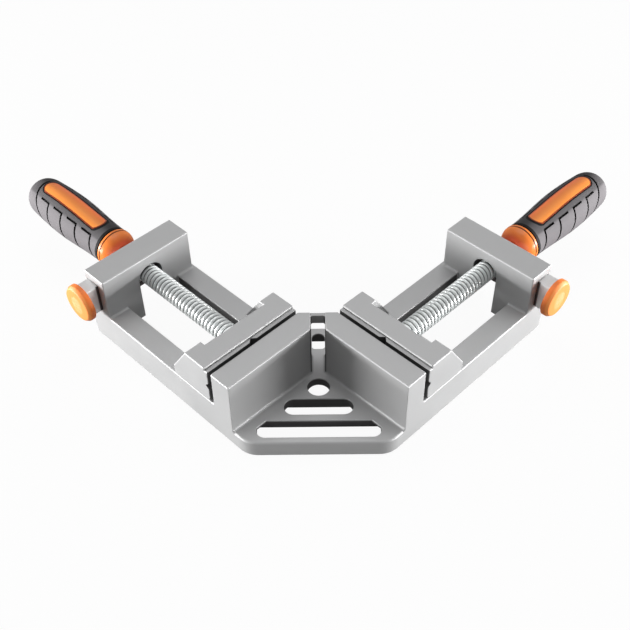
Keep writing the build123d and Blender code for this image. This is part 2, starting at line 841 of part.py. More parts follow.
with BuildPart() as jaw_keeper_left:
    mirror(jaw_keeper_right.part, about=diagonal)
jaw_keeper_left.part.label = "jaw_keeper_left"
export_step(jaw_keeper_left.part, "parts/jaw_keeper_left.step")

with BuildPart() as keeper_screws_left:
    mirror(keeper_screws_right.part, about=diagonal)
keeper_screws_left.part.label = "keeper_screws_left"
export_step(keeper_screws_left.part, "parts/keeper_screws_left.step")

with BuildPart() as retaining_pins_left:
    mirror(retaining_pins_right.part, about=diagonal)
retaining_pins_left.part.label = "retaining_pins_left"
export_step(retaining_pins_left.part, "parts/retaining_pins_left.step")

with BuildPart() as thrust_washer_left:
    mirror(thrust_washer_right.part, about=diagonal)
thrust_washer_left.part.label = "thrust_washer_left"
export_step(thrust_washer_left.part, "parts/thrust_washer_left.step")

with BuildPart() as spindle_left:
    mirror(spindle_right.part, about=diagonal)
spindle_left.part.label = "spindle_left"
export_step(spindle_left.part, "parts/spindle_left.step")

with BuildPart() as release_slider_left:
    mirror(release_slider_right.part, about=diagonal)
release_slider_left.part.label = "release_slider_left"
export_step(release_slider_left.part, "parts/release_slider_left.step")

with BuildPart() as release_button_left:
    mirror(release_button_right.part, about=diagonal)
release_button_left.part.label = "release_button_left"
export_step(release_button_left.part, "parts/release_button_left.step")

with BuildPart() as release_spring_left:
    mirror(release_spring_right.part, about=diagonal)
release_spring_left.part.label = "release_spring_left"
export_step(release_spring_left.part, "parts/release_spring_left.step")

with BuildPart() as handle_core_left:
    mirror(handle_core_right.part, about=diagonal)
handle_core_left.part.label = "handle_core_left"
export_step(handle_core_left.part, "parts/handle_core_left.step")

with BuildPart() as handle_grip_left:
    mirror(handle_grip_right.part, about=diagonal)
handle_grip_left.part.label = "handle_grip_left"
export_step(handle_grip_left.part, "parts/handle_grip_left.step")

with BuildPart() as handle_inlay_left:
    mirror(handle_inlay_right.part, about=diagonal)
handle_inlay_left.part.label = "handle_inlay_left"
export_step(handle_inlay_left.part, "parts/handle_inlay_left.step")
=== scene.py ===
import math

import bmesh
import bpy
from mathutils import Matrix, Vector


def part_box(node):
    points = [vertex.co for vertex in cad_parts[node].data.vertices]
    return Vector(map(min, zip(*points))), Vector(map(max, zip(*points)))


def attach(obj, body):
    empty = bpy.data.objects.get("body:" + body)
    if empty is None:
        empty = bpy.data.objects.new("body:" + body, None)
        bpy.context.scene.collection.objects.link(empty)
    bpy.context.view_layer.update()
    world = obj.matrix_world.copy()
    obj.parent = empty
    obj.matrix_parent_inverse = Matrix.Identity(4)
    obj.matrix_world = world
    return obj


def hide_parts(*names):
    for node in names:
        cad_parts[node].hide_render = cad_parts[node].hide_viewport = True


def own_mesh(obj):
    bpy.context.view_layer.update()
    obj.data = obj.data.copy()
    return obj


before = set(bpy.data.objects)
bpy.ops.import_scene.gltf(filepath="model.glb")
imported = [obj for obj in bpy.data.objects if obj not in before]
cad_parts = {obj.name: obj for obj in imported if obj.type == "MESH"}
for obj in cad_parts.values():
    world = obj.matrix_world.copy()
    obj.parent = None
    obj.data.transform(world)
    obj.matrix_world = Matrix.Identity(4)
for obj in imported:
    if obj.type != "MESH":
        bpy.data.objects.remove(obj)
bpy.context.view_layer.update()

scene = bpy.context.scene
arms = ("right", "left")


# Camera. The photograph looks down at the corner plate from the front at about 45 degrees,
# along the plane in which the two arms mirror each other.
eye = Vector((-0.30066, -0.30391, 0.4901))
ahead = Vector((0.4936, 0.5029, -0.7095)).normalized()
sideways = Vector((0.7052, -0.7089, -0.0119))
sideways = (sideways - ahead * sideways.dot(ahead)).normalized()
upward = sideways.cross(ahead)
camera_data = bpy.data.cameras.new("camera")
camera_data.lens = 56.08
camera_data.sensor_width = 36
camera = bpy.data.objects.new("camera", camera_data)
camera.matrix_world = Matrix((
    (sideways.x, upward.x, -ahead.x, eye.x),
    (sideways.y, upward.y, -ahead.y, eye.y),
    (sideways.z, upward.z, -ahead.z, eye.z),
    (0, 0, 0, 1),
))
scene.collection.objects.link(camera)
scene.camera = camera
scene.view_settings.view_transform = "Standard"


# Studio. A white floor in a light tent that is brightest behind and beside the clamp and darker
# overhead and in front, so that the outer sides shine and the tops and inner faces stay grey.
def node(tree, kind, **settings):
    """Adds a shader node and sets its properties, or else its inputs, by name."""
    made = tree.nodes.new(kind)
    for name, value in settings.items():
        if hasattr(made, name):
            setattr(made, name, value)
        else:
            made.inputs[name.replace("_", " ").title()].default_value = value
    return made


def parts_of(tree, vector):
    """Takes a vector apart into its X, Y and Z."""
    made = node(tree, "ShaderNodeSeparateXYZ")
    tree.links.new(vector, made.inputs[0])
    return made.outputs["X"], made.outputs["Y"], made.outputs["Z"]


def calc(tree, operation, *terms):
    """Adds a math node on plain numbers and sockets, and returns its result."""
    made = node(tree, "ShaderNodeMath", operation=operation)
    for place, term in enumerate(terms):
        if isinstance(term, (int, float)):
            made.inputs[place].default_value = term
        else:
            tree.links.new(term, made.inputs[place])
    return made.outputs[0]


def blended(tree, share, first, second):
    """Mixes two colours, each given as red, green and blue or as a socket."""
    made = node(tree, "ShaderNodeMix", data_type="RGBA")
    tree.links.new(share, made.inputs["Factor"])
    for place, colour in (("A", first), ("B", second)):
        if isinstance(colour, tuple):
            made.inputs[place].default_value = (*colour, 1)
        else:
            tree.links.new(colour, made.inputs[place])
    return made.outputs["Result"]


world = bpy.data.worlds.new("light_tent")
scene.world = world
world.use_nodes = True
tent = world.node_tree
tent.nodes.clear()
direction = node(tent, "ShaderNodeTexCoord").outputs["Generated"]
height = parts_of(tent, direction)[2]
fade = node(tent, "ShaderNodeValToRGB")
horizon, overhead = fade.color_ramp.elements
horizon.position = 0.0
horizon.color = (0.60, 0.60, 0.60, 1)
overhead.position = 0.75
overhead.color = (0.42, 0.42, 0.425, 1)
tent.links.new(height, fade.inputs[0])
toward_front = node(tent, "ShaderNodeVectorMath", operation="DOT_PRODUCT")
toward_front.inputs[1].default_value = (-0.7071, -0.7071, 0)
tent.links.new(direction, toward_front.inputs[0])
dimmed = node(tent, "ShaderNodeMapRange", from_min=-0.6, from_max=0.8, to_min=1.0, to_max=0.50)
tent.links.new(toward_front.outputs["Value"], dimmed.inputs["Value"])
lit = node(tent, "ShaderNodeMix", data_type="RGBA", blend_type="MULTIPLY")
lit.inputs["Factor"].default_value = 1
tent.links.new(fade.outputs["Color"], lit.inputs["A"])
tent.links.new(dimmed.outputs["Result"], lit.inputs["B"])
seen = node(tent, "ShaderNodeLightPath").outputs
backdrop = blended(tent, seen["Is Camera Ray"], lit.outputs["Result"], (1, 1, 1))
sky = node(tent, "ShaderNodeBackground")
tent.links.new(backdrop, sky.inputs["Color"])
tent_out = node(tent, "ShaderNodeOutputWorld")
tent.links.new(sky.outputs[0], tent_out.inputs[0])

# The floor shows white to the camera and keeps the clamp's shadow, but throws little light back
floor_reach = 3
shade_to_camera = 0.80
shade_to_clamp = 0.20
glow_to_camera = 0.94
glow_in_gloss = 0.22
floor_mesh = bpy.data.meshes.new("floor")
floor_mesh.from_pydata([(-floor_reach, -floor_reach, 0), (floor_reach, -floor_reach, 0),
                        (floor_reach, floor_reach, 0), (-floor_reach, floor_reach, 0)],
                       [], [(0, 1, 2, 3)])
floor = bpy.data.objects.new("floor", floor_mesh)
scene.collection.objects.link(floor)
floor_paint = bpy.data.materials.new("white_floor")
floor_paint.use_nodes = True
tree = floor_paint.node_tree
tree.nodes.clear()
seen = node(tree, "ShaderNodeLightPath").outputs
matt = node(tree, "ShaderNodeBsdfDiffuse")
cloth = blended(tree, seen["Is Camera Ray"], (shade_to_clamp,) * 3, (shade_to_camera,) * 3)
tree.links.new(cloth, matt.inputs["Color"])
glow = node(tree, "ShaderNodeEmission", Color=(1, 1, 1, 1), Strength=1.0)
in_gloss = calc(tree, "MULTIPLY", seen["Is Glossy Ray"], glow_in_gloss)
share = calc(tree, "MULTIPLY_ADD", seen["Is Camera Ray"], glow_to_camera, in_gloss)
blend = node(tree, "ShaderNodeMixShader")
tree.links.new(share, blend.inputs[0])
tree.links.new(matt.outputs[0], blend.inputs[1])
tree.links.new(glow.outputs[0], blend.inputs[2])
tree_out = node(tree, "ShaderNodeOutputMaterial")
tree.links.new(blend.outputs[0], tree_out.inputs[0])
floor_mesh.materials.append(floor_paint)

lamps_aim = Vector((0, 0, 0.04))
for lamp_name, lamp_at, lamp_width, lamp_height, lamp_power in (
    ("soft_box_above", (0.25, 0.25, 1.1), 0.9, 0.9, 4.0),
    ("strip_light_right", (0.67, -0.69, 0.09), 0.9, 0.14, 18.0),
    ("strip_light_left", (-0.69, 0.67, 0.09), 0.9, 0.14, 18.0),
):
    lamp_data = bpy.data.lights.new(lamp_name, "AREA")
    lamp_data.shape = "RECTANGLE"
    lamp_data.size = lamp_width
    lamp_data.size_y = lamp_height
    lamp_data.energy = lamp_power
    lamp = bpy.data.objects.new(lamp_name, lamp_data)
    lamp.location = lamp_at
    lamp.rotation_euler = (lamps_aim - Vector(lamp_at)).to_track_quat("-Z", "Y").to_euler()
    scene.collection.objects.link(lamp)


# Frame. One sand casting of aluminium with both fixed jaws, the corner plate, the rails and the
# end blocks. It is blasted to an even satin grey, and its arrises carry a painted highlight.
def new_group(name, inputs, outputs):
    """Starts a shader node group with named sockets and returns its tree, inlet and outlet."""
    group = bpy.data.node_groups.new(name, "ShaderNodeTree")
    for socket_name, kind, value in inputs:
        socket = group.interface.new_socket(socket_name, in_out="INPUT", socket_type=kind)
        if value is not None:
            socket.default_value = value
    for socket_name, kind in outputs:
        group.interface.new_socket(socket_name, in_out="OUTPUT", socket_type=kind)
    return group, group.nodes.new("NodeGroupInput"), group.nodes.new("NodeGroupOutput")


def eased(tree, value, start, end, low=0.0, high=1.0):
    """Smooth step from low to high while the value goes from start to end."""
    made = node(tree, "ShaderNodeMapRange", interpolation_type="SMOOTHSTEP",
                from_min=start, from_max=end, to_min=low, to_max=high)
    tree.links.new(value, made.inputs["Value"])
    return made.outputs["Result"]


screw_height = 0.0395
screw_offset = -0.0375

# Place of a point about the nearer screw: along it, across it, above it and out from it
place_group, inlet, outlet = new_group(
    "about_the_screw",
    (("Vector", "NodeSocketVector", None),),
    (("Along", "NodeSocketFloat"), ("Across", "NodeSocketFloat"), ("Rise", "NodeSocketFloat"),
     ("Radius", "NodeSocketFloat")),
)
x, y, z = parts_of(place_group, inlet.outputs["Vector"])
along = calc(place_group, "MAXIMUM", x, y)
across = calc(place_group, "SUBTRACT", calc(place_group, "MINIMUM", x, y), screw_offset)
rise = calc(place_group, "SUBTRACT", z, screw_height)
squares = calc(place_group, "MULTIPLY_ADD", across, across, calc(place_group, "POWER", rise, 2.0))
for output, value in (("Along", along), ("Across", across), ("Rise", rise),
                      ("Radius", calc(place_group, "SQRT", squares))):
    place_group.links.new(value, outlet.inputs[output])

# Even grain of a blasted or moulded surface: fine pits, with broad soft clouds below them
grain_group, inlet, outlet = new_group(
    "grain",
    (("Vector", "NodeSocketVector", None), ("Pit Size", "NodeSocketFloat", 0.0004),
     ("Cloud Size", "NodeSocketFloat", 0.02)),
    (("Height", "NodeSocketFloat"), ("Cloud", "NodeSocketFloat")),
)
for size_name, detail, output in (("Pit Size", 3.0, "Height"), ("Cloud Size", 4.0, "Cloud")):
    pits = node(grain_group, "ShaderNodeTexNoise", Detail=detail, Roughness=0.55)
    closeness = calc(grain_group, "DIVIDE", 1.0, inlet.outputs[size_name])
    grain_group.links.new(inlet.outputs["Vector"], pits.inputs["Vector"])
    grain_group.links.new(closeness, pits.inputs["Scale"])
    grain_group.links.new(pits.outputs["Fac"], outlet.inputs[output])

# Line along an arris, for painted highlights and painted shade: where the rounded normal turns
# away from the face's own
edge_group, inlet, outlet = new_group(
    "painted_edge_mask",
    (("Width", "NodeSocketFloat", 0.0006), ("Strength", "NodeSocketFloat", 4.0)),
    (("Mask", "NodeSocketFloat"),),
)
rounded = node(edge_group, "ShaderNodeBevel", samples=6)
edge_group.links.new(inlet.outputs["Width"], rounded.inputs["Radius"])
turned = node(edge_group, "ShaderNodeVectorMath", operation="DOT_PRODUCT")
edge_group.links.new(rounded.outputs[0], turned.inputs[0])
edge_group.links.new(node(edge_group, "ShaderNodeNewGeometry").outputs["Normal"], turned.inputs[1])
stronger = node(edge_group, "ShaderNodeMath", operation="MULTIPLY", use_clamp=True)
edge_group.links.new(calc(edge_group, "SUBTRACT", 1.0, turned.outputs["Value"]), stronger.inputs[0])
edge_group.links.new(inlet.outputs["Strength"], stronger.inputs[1])
edge_group.links.new(stronger.outputs[0], outlet.inputs["Mask"])


def surface(name, **constants):
    """Starts a material and returns it with its tree and its shader."""
    made = bpy.data.materials.new(name)
    made.use_nodes = True
    shader = made.node_tree.nodes["Principled BSDF"]
    for socket, value in constants.items():
        shader.inputs[socket.replace("_", " ")].default_value = value
    return made, made.node_tree, shader


def own_coordinates(tree):
    """Place of the shaded point in metres, as it is at rest."""
    return tree.nodes.new("ShaderNodeTexCoord").outputs["Object"]


def placed(tree, group, **values):
    """Places a node group in a material with its own values, on the piece's own coordinates."""
    made = tree.nodes.new("ShaderNodeGroup")
    made.node_tree = group
    for name, value in values.items():
        made.inputs[name.replace("_", " ").title()].default_value = value
    if "Vector" in made.inputs:
        tree.links.new(own_coordinates(tree), made.inputs["Vector"])
    return made


def cast_finish(name, shade, lit, metal, rough):
    """Blasted casting: clouded grey, painted arris highlight, fine pitted bump, softly rounded edges.
    """
    made, tree, shader = surface(name, Metallic=metal)
    grain = placed(tree, grain_group, pit_size=0.00055, cloud_size=0.03)
    arris = placed(tree, edge_group, width=0.0006, strength=4.0)
    clouds = blended(tree, grain.outputs["Cloud"],
                     (shade * 0.95, shade * 0.955, shade * 0.96), (shade * 1.05,) * 3)
    # Painted highlight along the arrises, in the lit colour
    edged = blended(tree, arris.outputs["Mask"], clouds, (lit,) * 3)
    tree.links.new(edged, shader.inputs["Base Color"])
    gloss = eased(tree, grain.outputs["Cloud"], 0.0, 1.0, rough - 0.05, rough + 0.06)
    tree.links.new(gloss, shader.inputs["Roughness"])
    soft = node(tree, "ShaderNodeBevel", samples=6, radius=0.0007)
    pitted = node(tree, "ShaderNodeBump", strength=0.25, distance=0.0002)
    tree.links.new(grain.outputs["Height"], pitted.inputs["Height"])
    tree.links.new(soft.outputs[0], pitted.inputs["Normal"])
    tree.links.new(pitted.outputs[0], shader.inputs["Normal"])
    return made, tree, shader


def overlap(tree, *masks):
    """Mask of what lies inside all the given ones."""
    shared = masks[0]
    for mask in masks[1:]:
        shared = calc(tree, "MULTIPLY", shared, mask)
    return shared


def within(tree, value, low, high, soft=0.0002):
    """Mask that is 1 where a value lies between two limits."""
    return overlap(tree, eased(tree, value, low, low + soft), eased(tree, value, high, high - soft))


def paint_over(tree, shader, mask, colour):
    """Covers the material's colour with another one where a mask is 1."""
    below = shader.inputs["Base Color"].links[0].from_socket
    tree.links.new(blended(tree, mask, below, colour), shader.inputs["Base Color"])


def wear(node_name, material):
    """Gives a carried-over solid its material."""
    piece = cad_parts[node_name]
    if not piece.data.materials:
        piece.data.materials.append(None)
    for place in piece.material_slots:
        place.link = "OBJECT"
        place.material = material


blasted = {"shade": 0.50, "lit": 0.85, "metal": 0.40, "rough": 0.52}
frame_finish, tree, shader = cast_finish("blasted_frame", **blasted)

# The walls of the slots in the corner plate, the bores of the end blocks, the corner gap and the
# sides that guide the jaws carry painted shade, near black and not metallic. Each mask keeps
# about a millimetre off the arrises, which keep their painted highlight.
painted_shade_colour = (0.062, 0.060, 0.060)
# Painted shade of the gap between the jaws, for the clamping faces
gap_shade_colour = (0.15, 0.15, 0.15)
plate_top = 0.0117
plate_front = 0.0621
plate_back = 0.0345
slot_half = 0.0395
web = 0.0025
arch_radius = 0.0098
rail_top = 0.0246
wall_back = 0.0166
window_half = 0.0224
gap_half = 0.0045
block_front = 0.1218
block_back = 0.1418
x, y, z = parts_of(tree, own_coordinates(tree))
backward = calc(tree, "MULTIPLY", calc(tree, "ADD", x, y), math.sqrt(0.5))
sidelong = calc(tree, "MULTIPLY", calc(tree, "SUBTRACT", x, y), math.sqrt(0.5))
place = placed(tree, place_group)
along, across = place.outputs["Along"], place.outputs["Across"]
facing_up = parts_of(tree, node(tree, "ShaderNodeNewGeometry").outputs["Normal"])[2]
upright = eased(tree, calc(tree, "ABSOLUTE", facing_up), 0.7, 0.4)
slots = overlap(tree, upright, within(tree, backward, web - plate_front, plate_back - web),
                within(tree, sidelong, -slot_half, slot_half),
                eased(tree, z, plate_top - 0.0005, plate_top - 0.0015))
bores = overlap(tree, eased(tree, place.outputs["Radius"], arch_radius + 0.0007, arch_radius + 0.0004),
                within(tree, along, block_front + 0.0006, block_back - 0.0006))
guides = overlap(tree, upright, within(tree, along, wall_back, block_front),
                 within(tree, across, -window_half, window_half),
                 eased(tree, z, rail_top - 0.0007, rail_top - 0.0014))
from_middle = calc(tree, "ABSOLUTE", sidelong)
gap_sides = overlap(tree, upright, within(tree, from_middle, gap_half - 0.0004, gap_half + 0.0006),
                    eased(tree, z, plate_top, plate_top + 0.0010))
# Painted shade over the slots, the bores, the corner gap and the guide sides
painted_shade = calc(tree, "MAXIMUM", calc(tree, "MAXIMUM", slots, guides),
            calc(tree, "MAXIMUM", bores, gap_sides))
paint_over(tree, shader, painted_shade, painted_shade_colour)
tree.links.new(eased(tree, painted_shade, 0.0, 1.0, blasted["metal"], 0.0), shader.inputs["Metallic"])


def painted_gap_shade(tree, shader, facing_out, face_from, face_to, top):
    """Painted shade of the jaw gap on the clamping face, between two distances along the arm, below
    its arris.
    """
    x, y, z = parts_of(tree, own_coordinates(tree))
    normal_x, normal_y = parts_of(tree, node(tree, "ShaderNodeNewGeometry").outputs["Normal"])[:2]
    on_right = calc(tree, "GREATER_THAN", x, y)
    on_left = calc(tree, "SUBTRACT", 1.0, on_right)
    along_arm = calc(tree, "MULTIPLY_ADD", normal_x, on_right,
                     calc(tree, "MULTIPLY", normal_y, on_left))
    faced = eased(tree, calc(tree, "MULTIPLY", along_arm, facing_out), 0.45, 0.65)
    along = placed(tree, place_group).outputs["Along"]
    face = overlap(tree, faced, within(tree, along, face_from, face_to),
                   within(tree, z, rail_top, top))
    paint_over(tree, shader, face, gap_shade_colour)


jaw_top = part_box("moving_jaw_right")[1][2]
# Painted shade on the fixed jaw's clamping face
painted_gap_shade(tree, shader, 1, wall_back - 0.0011, wall_back, jaw_top - 0.0018)
wear("frame", frame_finish)


# Moving jaws. Blasted castings like the frame, each with a tongue that runs between the rails.
# The clamping face with its crossed V-grooves carries painted shade of the jaw gap, darker than
# the cast faces.
jaw_face = 0.0183
grooves_bottom = 0.0220
jaw_finish, tree, shader = cast_finish("blasted_aluminium", **blasted)
painted_gap_shade(tree, shader, -1, jaw_face, grooves_bottom, jaw_top - 0.0012)
for arm in arms:
    wear(f"moving_jaw_{arm}", jaw_finish)


# Clamping screws. Steel bar of 14 mm with a rolled round-crested thread, right-hand on both
# arms, bright zinc plated. The neck turns in the jaw, and the far end is held in the handle.
pitch = 0.00325
crest = 0.0071
root = 0.0060
fullness = 1.15
roundness = 0.6
run_out = 0.0016
run_out_depth = 0.0004
round_steps = 48
pitch_steps = 14


def on_arm(arm, along, across, level):
    """Point at a distance along an arm and across it, negative towards the outside."""
    return (along, across, level) if arm == "right" else (across, along, level)


def about_screw(arm, distance, radius, angle):
    """Point beside the screw's axis, at an angle from straight above it."""
    return on_arm(arm, distance, screw_offset + radius * math.sin(angle),
                  screw_height + radius * math.cos(angle))


def skinned(bm, rings):
    """Closes a body round a row of rings of vertices, with a face on each end."""
    for near, far in zip(rings, rings[1:]):
        for step in range(len(near)):
            after = (step + 1) % len(near)
            bm.faces.new((near[step], near[after], far[after], far[step]))
    bm.faces.new(rings[0])
    bm.faces.new(rings[-1])


def lathe(bm, arm, stations):
    """Round closed body on the screw's axis through (distance, radius) stations."""
    turns = [2 * math.pi * step / round_steps for step in range(round_steps)]
    skinned(bm, [[bm.verts.new(about_screw(arm, distance, radius, turn)) for turn in turns]
                 for distance, radius in stations])


def finished(bm, name, material):
    """Turns a built body into an object with smooth faces and its material."""
    bmesh.ops.recalc_face_normals(bm, faces=bm.faces)
    mesh = bpy.data.meshes.new(name)
    bm.to_mesh(mesh)
    bm.free()
    for face in mesh.polygons:
        face.use_smooth = True
    mesh.materials.append(material)
    made = bpy.data.objects.new(name, mesh)
    scene.collection.objects.link(made)
    return made


def thread_radius(travel):
    """Radius of the thread where it has gone this share of a pitch round its profile."""
    wave = 0.5 + 0.5 * math.cos(2 * math.pi * travel)
    return root + (crest - root) * min(1, fullness * wave ** roundness)


def rolled_thread(bm, arm, start, end):
    """Thread whose rows of vertices follow the helix, so that each crest stays sharp."""
    hand = 1 if arm == "right" else -1
    rows = []
    row_count = round((end - start) / pitch * pitch_steps) + pitch_steps
    for row in range(-pitch_steps, row_count):
        ring = []
        for step in range(round_steps):
            turn = step / round_steps
            distance = start + pitch * (row / pitch_steps + turn)
            held = min(max(distance, start), end)
            radius = thread_radius((held - start) / pitch - turn)
            ends = min(held - start, end - held) / run_out
            radius = root - run_out_depth + (radius - root + run_out_depth) * min(1, ends)
            ring.append(bm.verts.new(about_screw(arm, held, radius, hand * 2 * math.pi * turn)))
        rows.append(ring)
    for number, (near, far) in enumerate(zip(rows, rows[1:])):
        for step in range(round_steps - 1):
            bm.faces.new((near[step], near[step + 1], far[step + 1], far[step]))
        if number + pitch_steps + 1 < len(rows):
            joined = rows[number + pitch_steps][0], rows[number + pitch_steps + 1][0]
            bm.faces.new((near[-1], joined[0], joined[1], far[-1]))


def zinc_finish(name, root_shade_radius):
    """Bright plating, bluish white and faintly clouded, with painted shade in the roots of a thread.
    """
    made, tree, shader = surface(name, Metallic=0.55)
    grain = placed(tree, grain_group, pit_size=0.0016, cloud_size=0.008)
    radius = placed(tree, place_group).outputs["Radius"]
    tint = blended(tree, grain.outputs["Cloud"], (0.80, 0.84, 0.84), (0.94, 0.96, 0.95))
    # Painted shade in the thread's roots, below this radius
    unshaded = eased(tree, radius, root_shade_radius, root_shade_radius + 0.0005)
    tree.links.new(blended(tree, unshaded, (0.15, 0.155, 0.155), tint), shader.inputs["Base Color"])
    gloss = eased(tree, grain.outputs["Height"], 0.2, 0.8, 0.34, 0.44)
    tree.links.new(gloss, shader.inputs["Roughness"])
    return made


zinc = zinc_finish("bright_zinc", root + 0.0001)
neck_start = 0.0243
neck_radius = 0.0050
groove_start = 0.0271
groove_end = 0.0303
groove_radius = 0.0038
core_radius = 0.0057
thread_start = 0.0380
thread_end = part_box("handle_core_right")[0][0] - 0.0010
shank_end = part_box("spindle_right")[1][0] - 0.0320
neck = ((neck_start, neck_radius - 0.0003), (neck_start + 0.0003, neck_radius),
        (groove_start, neck_radius), (groove_start, groove_radius),
        (groove_end, groove_radius), (groove_end, neck_radius), (thread_start, neck_radius))
core = ((thread_start, neck_radius - 0.0003), (thread_start, core_radius),
        (thread_start + 0.0002, core_radius), (thread_end - 0.0002, core_radius),
        (thread_end, core_radius), (thread_end, core_radius - 0.0002))
shank = ((thread_end - 0.0002, root), (shank_end, root))
for arm in arms:
    bm = bmesh.new()
    lathe(bm, arm, neck)
    rolled_thread(bm, arm, thread_start, thread_end)
    lathe(bm, arm, core)
    lathe(bm, arm, shank)
    screw = finished(bm, f"clamping_screw_{arm}", zinc)
    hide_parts(f"spindle_{arm}")
    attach(screw, f"spindle_{arm}")


# Handles: core and collar. Orange polypropylene, moulded glossy, with the flared collar and its
# lip in front of the rubber. The sleeve below the rubber turns the screw by its flat tang.
def plastic_finish(name, colour, deep, rough, stipple):
    """Moulded plastic: two close tones, slight orange-peel gloss and a fine stipple."""
    made, tree, shader = surface(name, IOR=1.49)
    grain = placed(tree, grain_group, pit_size=0.0007, cloud_size=0.012)
    tone = blended(tree, grain.outputs["Cloud"], deep, colour)
    tree.links.new(tone, shader.inputs["Base Color"])
    gloss = eased(tree, grain.outputs["Cloud"], 0.0, 1.0, rough - 0.04, rough + 0.08)
    tree.links.new(gloss, shader.inputs["Roughness"])
    peel = node(tree, "ShaderNodeBump", strength=stipple, distance=0.0001)
    tree.links.new(grain.outputs["Height"], peel.inputs["Height"])
    tree.links.new(peel.outputs[0], shader.inputs["Normal"])
    return made, tree, shader, tone


orange, tree, shader, tone = plastic_finish(
    "orange_plastic", (0.96, 0.27, 0.045), (0.92, 0.22, 0.035), 0.32, 0.1)
grip_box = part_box("handle_grip_right")
grip_start, grip_end = grip_box[0][0], grip_box[1][0]
collar_neck = 0.0090
collar_lip = 0.0140
lip_groove = grip_start - 0.00205
lip_groove_half = 0.0005
place = placed(tree, place_group)
# Painted shade: the collar deepens to dark red towards its nose at the block
flare = eased(tree, place.outputs["Radius"], collar_neck, collar_lip)
shell = blended(tree, flare, (0.62, 0.075, 0.015), tone)
# Painted shade in the lip groove
from_groove = calc(tree, "ABSOLUTE", calc(tree, "SUBTRACT", place.outputs["Along"], lip_groove))
grooved = eased(tree, from_groove, lip_groove_half + 0.0003, lip_groove_half)
tree.links.new(blended(tree, grooved, shell, (0.34, 0.09, 0.02)), shader.inputs["Base Color"])
for arm in arms:
    wear(f"handle_core_{arm}", orange)


# Handles: inlay. A bare orange plate let into the top of the rubber, flush with it, with a
# darker bevelled rim. Painted shade deepens its colour towards the side that lies between the arms.
inlay_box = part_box("handle_inlay_right")
inlay_start, inlay_end = inlay_box[0][0], inlay_box[1][0]
inlay_half = 0.0062
inlay_nose = 0.00775


def beyond_inlay(tree, along, across):
    """Distance in plan outside the inlay's outline, negative on the inlay."""
    side = calc(tree, "POWER", across, 2.0)
    before = calc(tree, "MINIMUM", calc(tree, "SUBTRACT", along, inlay_start + inlay_nose), 0.0)
    after = calc(tree, "MAXIMUM", calc(tree, "SUBTRACT", along, inlay_end - inlay_half), 0.0)
    near_end = calc(tree, "SQRT", calc(tree, "MULTIPLY_ADD", before, before, side))
    far_end = calc(tree, "SQRT", calc(tree, "MULTIPLY_ADD", after, after, side))
    return calc(tree, "MAXIMUM", calc(tree, "SUBTRACT", near_end, inlay_nose),
                calc(tree, "SUBTRACT", far_end, inlay_half))


inlay, tree, shader, tone = plastic_finish(
    "orange_inlay", (0.98, 0.34, 0.06), (0.95, 0.28, 0.045), 0.32, 0.12)
place = placed(tree, place_group)
along, across = place.outputs["Along"], place.outputs["Across"]
# Painted shade towards the side between the arms
inward = eased(tree, across, -0.003, 0.007)
panel = blended(tree, inward, tone, (0.78, 0.15, 0.035))
rim = eased(tree, beyond_inlay(tree, along, across), -0.0010, -0.0006)
tree.links.new(blended(tree, rim, panel, (0.26, 0.045, 0.015)), shader.inputs["Base Color"])
for arm in arms:
    wear(f"handle_inlay_{arm}", inlay)


# Handles: grip. Dark grey rubber moulded over the core, matt, with deep slanting grooves that
# stop at a short leg on each side of the inlay. The grooves and their lips are painted black as
# shade, and painted shade makes it darkest on top, most on the side between the arms.
mouth, mouth_radius = grip_start + 0.0035, 0.01387
belly, belly_radius = grip_start + 0.0493, 0.01606
tail, tail_loss = grip_start + 0.0993, 0.0023
last_groove = grip_end - 0.0130
line_colour = (0.004, 0.004, 0.004)
rubber, tree, shader, tone = plastic_finish(
    "grey_rubber", (0.185, 0.174, 0.182), (0.148, 0.139, 0.146), 0.70, 0.5)
shader.inputs["Specular IOR Level"].default_value = 0.25
place = placed(tree, place_group)
along, across = place.outputs["Along"], place.outputs["Across"]
rise, radius = place.outputs["Rise"], place.outputs["Radius"]

# The grooves lie below the swelling outline of the grip, and are painted black as their shade
outline = calc(tree, "SUBTRACT", eased(tree, along, mouth, belly, mouth_radius, belly_radius),
               eased(tree, along, belly, tail, 0.0, tail_loss))
sunk = overlap(tree, eased(tree, calc(tree, "SUBTRACT", outline, radius), 0.00010, 0.00030),
               eased(tree, along, last_groove + 0.0004, last_groove))
# Painted shade over the top of the grip, darkest on the side between the arms
top = eased(tree, calc(tree, "DIVIDE", rise, radius), 0.68, 0.78)
shaded = eased(tree, across, -0.004, 0.004)
crown = blended(tree, top, tone,
                blended(tree, shaded, (0.090, 0.085, 0.089), (0.042, 0.040, 0.042)))
seam_width = eased(tree, along, inlay_start + 0.004, inlay_start - 0.001, 0.0010, 0.0022)
past_seam = calc(tree, "SUBTRACT", beyond_inlay(tree, along, across), seam_width)
seam = overlap(tree, eased(tree, past_seam, 0.0002, -0.0002), eased(tree, rise, 0.0, 0.0010))
ring = eased(tree, along, grip_start + 0.0038, grip_start + 0.0034)
# Painted shade along the lips of the grooves
lips = placed(tree, edge_group, width=0.0007, strength=4.0).outputs["Mask"]
lined = seam
for dark_line in (sunk, ring, lips):
    lined = calc(tree, "MAXIMUM", dark_line, lined)
tree.links.new(blended(tree, lined, crown, line_colour), shader.inputs["Base Color"])
for arm in arms:
    wear(f"handle_grip_{arm}", rubber)


